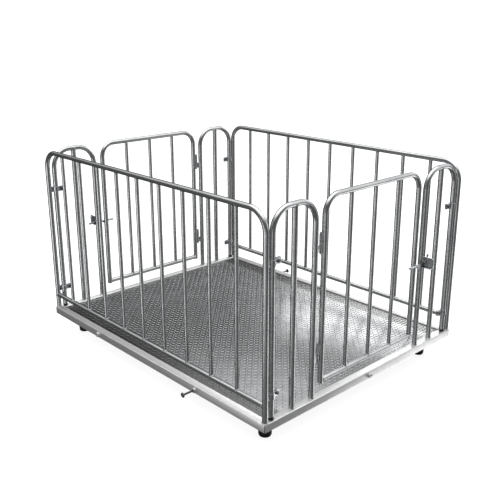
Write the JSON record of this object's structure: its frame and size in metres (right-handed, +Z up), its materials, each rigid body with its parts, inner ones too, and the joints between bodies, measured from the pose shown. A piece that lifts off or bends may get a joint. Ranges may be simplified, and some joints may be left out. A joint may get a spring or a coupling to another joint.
{
  "type": "livestock scale",
  "caption": "Platform scale for weighing pigs, sheep or calves: a low checker-plate deck on levelling feet, fenced by bent-tube panels with a swing gate at each end.",
  "frame": {"origin": "on the floor under the middle of the platform", "axes": "+X along the platform towards the end called right, +Y towards the rear long side, +Z up"},
  "size_m": [1.6, 1.326, 0.921],
  "materials": {
    "galvanised_tube": "hot-dip galvanised, dull silver",
    "galvanised_frame": "hot-dip galvanised, dull silver",
    "checker_plate": "galvanised, raised lens pattern",
    "zinc_steel": "zinc plated, satin",
    "cell_steel": "nickel plated, satin",
    "black_rubber": "matt",
    "black_plastic": "matt",
    "grey_plastic": "fine grain",
    "circuit_board": "solder mask"
  },
  "bodies": {
    "platform_and_pen": {"frame_rail_front": "galvanised_frame", "frame_rail_rear": "galvanised_frame", "frame_rail_right": "galvanised_frame", "frame_rail_left": "galvanised_frame", "deck_beam_left": "galvanised_frame", "deck_beam_middle": "galvanised_frame", "deck_beam_right": "galvanised_frame", "cell_mount_front_right": "galvanised_frame", "cell_mount_rear_right": "galvanised_frame", "cell_mount_front_left": "galvanised_frame", "cell_mount_rear_left": "galvanised_frame", "deck_plate": "checker_plate", "front_panel_hoop": "galvanised_tube", "front_panel_bars": "galvanised_tube", "rear_panel_hoop": "galvanised_tube", "rear_panel_bars": "galvanised_tube", "arch_right_hinge_side": "galvanised_tube", "arch_right_latch_side": "galvanised_tube", "arch_left_hinge_side": "galvanised_tube", "arch_left_latch_side": "galvanised_tube", "front_side_screw": "zinc_steel", "rear_side_screw": "zinc_steel", "corner_clamp_front_right_lower": "zinc_steel", "corner_clamp_front_right_upper": "zinc_steel", "corner_clamp_rear_right_lower": "zinc_steel", "corner_clamp_rear_right_upper": "zinc_steel", "corner_clamp_front_left_lower": "zinc_steel", "corner_clamp_front_left_upper": "zinc_steel", "corner_clamp_rear_left_lower": "zinc_steel", "corner_clamp_rear_left_upper": "zinc_steel", "load_cell_front_right": "cell_steel", "load_cell_rear_right": "cell_steel", "load_cell_front_left": "cell_steel", "load_cell_rear_left": "cell_steel", "load_cell_lead_front_right": "black_rubber", "load_cell_lead_rear_right": "black_rubber", "load_cell_lead_front_left": "black_rubber", "load_cell_lead_rear_left": "black_rubber", "arch_leg_plug_front_right": "black_plastic", "arch_leg_plug_rear_right": "black_plastic", "arch_leg_plug_front_left": "black_plastic", "arch_leg_plug_rear_left": "black_plastic", "junction_box": "grey_plastic", "junction_box_lid": "grey_plastic", "junction_board": "circuit_board"},
    "gate_right": {"gate_right_hoop": "galvanised_tube", "gate_right_bars": "galvanised_tube"},
    "gate_left": {"gate_left_hoop": "galvanised_tube", "gate_left_bars": "galvanised_tube"},
    "latch_bolt_right": {"latch_bolt_right": "zinc_steel"},
    "latch_bolt_left": {"latch_bolt_left": "zinc_steel"},
    "foot_front_right": {"foot_stud_front_right": "zinc_steel", "foot_pad_front_right": "black_rubber"},
    "foot_rear_right": {"foot_stud_rear_right": "zinc_steel", "foot_pad_rear_right": "black_rubber"},
    "foot_front_left": {"foot_stud_front_left": "zinc_steel", "foot_pad_front_left": "black_rubber"},
    "foot_rear_left": {"foot_stud_rear_left": "zinc_steel", "foot_pad_rear_left": "black_rubber"}
  },
  "joints": [
    {"name": "gate_right_hinge", "type": "hinge", "parent": "platform_and_pen", "child": "gate_right", "pos_m": [0.7345, -0.309, 0.125], "axis": [0, 0, 1], "range_deg": [0, 110]},
    {"name": "gate_left_hinge", "type": "hinge", "parent": "platform_and_pen", "child": "gate_left", "pos_m": [-0.7345, 0.309, 0.125], "axis": [0, 0, 1], "range_deg": [0, 110]},
    {"name": "latch_bolt_right_slide", "type": "slide", "parent": "platform_and_pen", "child": "latch_bolt_right", "axis": [0, 1, 0], "range_m": [0, 0.075]},
    {"name": "latch_bolt_left_slide", "type": "slide", "parent": "platform_and_pen", "child": "latch_bolt_left", "axis": [0, -1, 0], "range_m": [0, 0.075]},
    {"name": "foot_front_right_turn", "type": "hinge", "parent": "platform_and_pen", "child": "foot_front_right", "pos_m": [0.652, -0.502, 0.03], "axis": [0, 0, 1], "continuous": true},
    {"name": "foot_rear_right_turn", "type": "hinge", "parent": "platform_and_pen", "child": "foot_rear_right", "pos_m": [0.652, 0.502, 0.03], "axis": [0, 0, 1], "continuous": true},
    {"name": "foot_front_left_turn", "type": "hinge", "parent": "platform_and_pen", "child": "foot_front_left", "pos_m": [-0.652, -0.502, 0.03], "axis": [0, 0, 1], "continuous": true},
    {"name": "foot_rear_left_turn", "type": "hinge", "parent": "platform_and_pen", "child": "foot_rear_left", "pos_m": [-0.652, 0.502, 0.03], "axis": [0, 0, 1], "continuous": true}
  ]
}
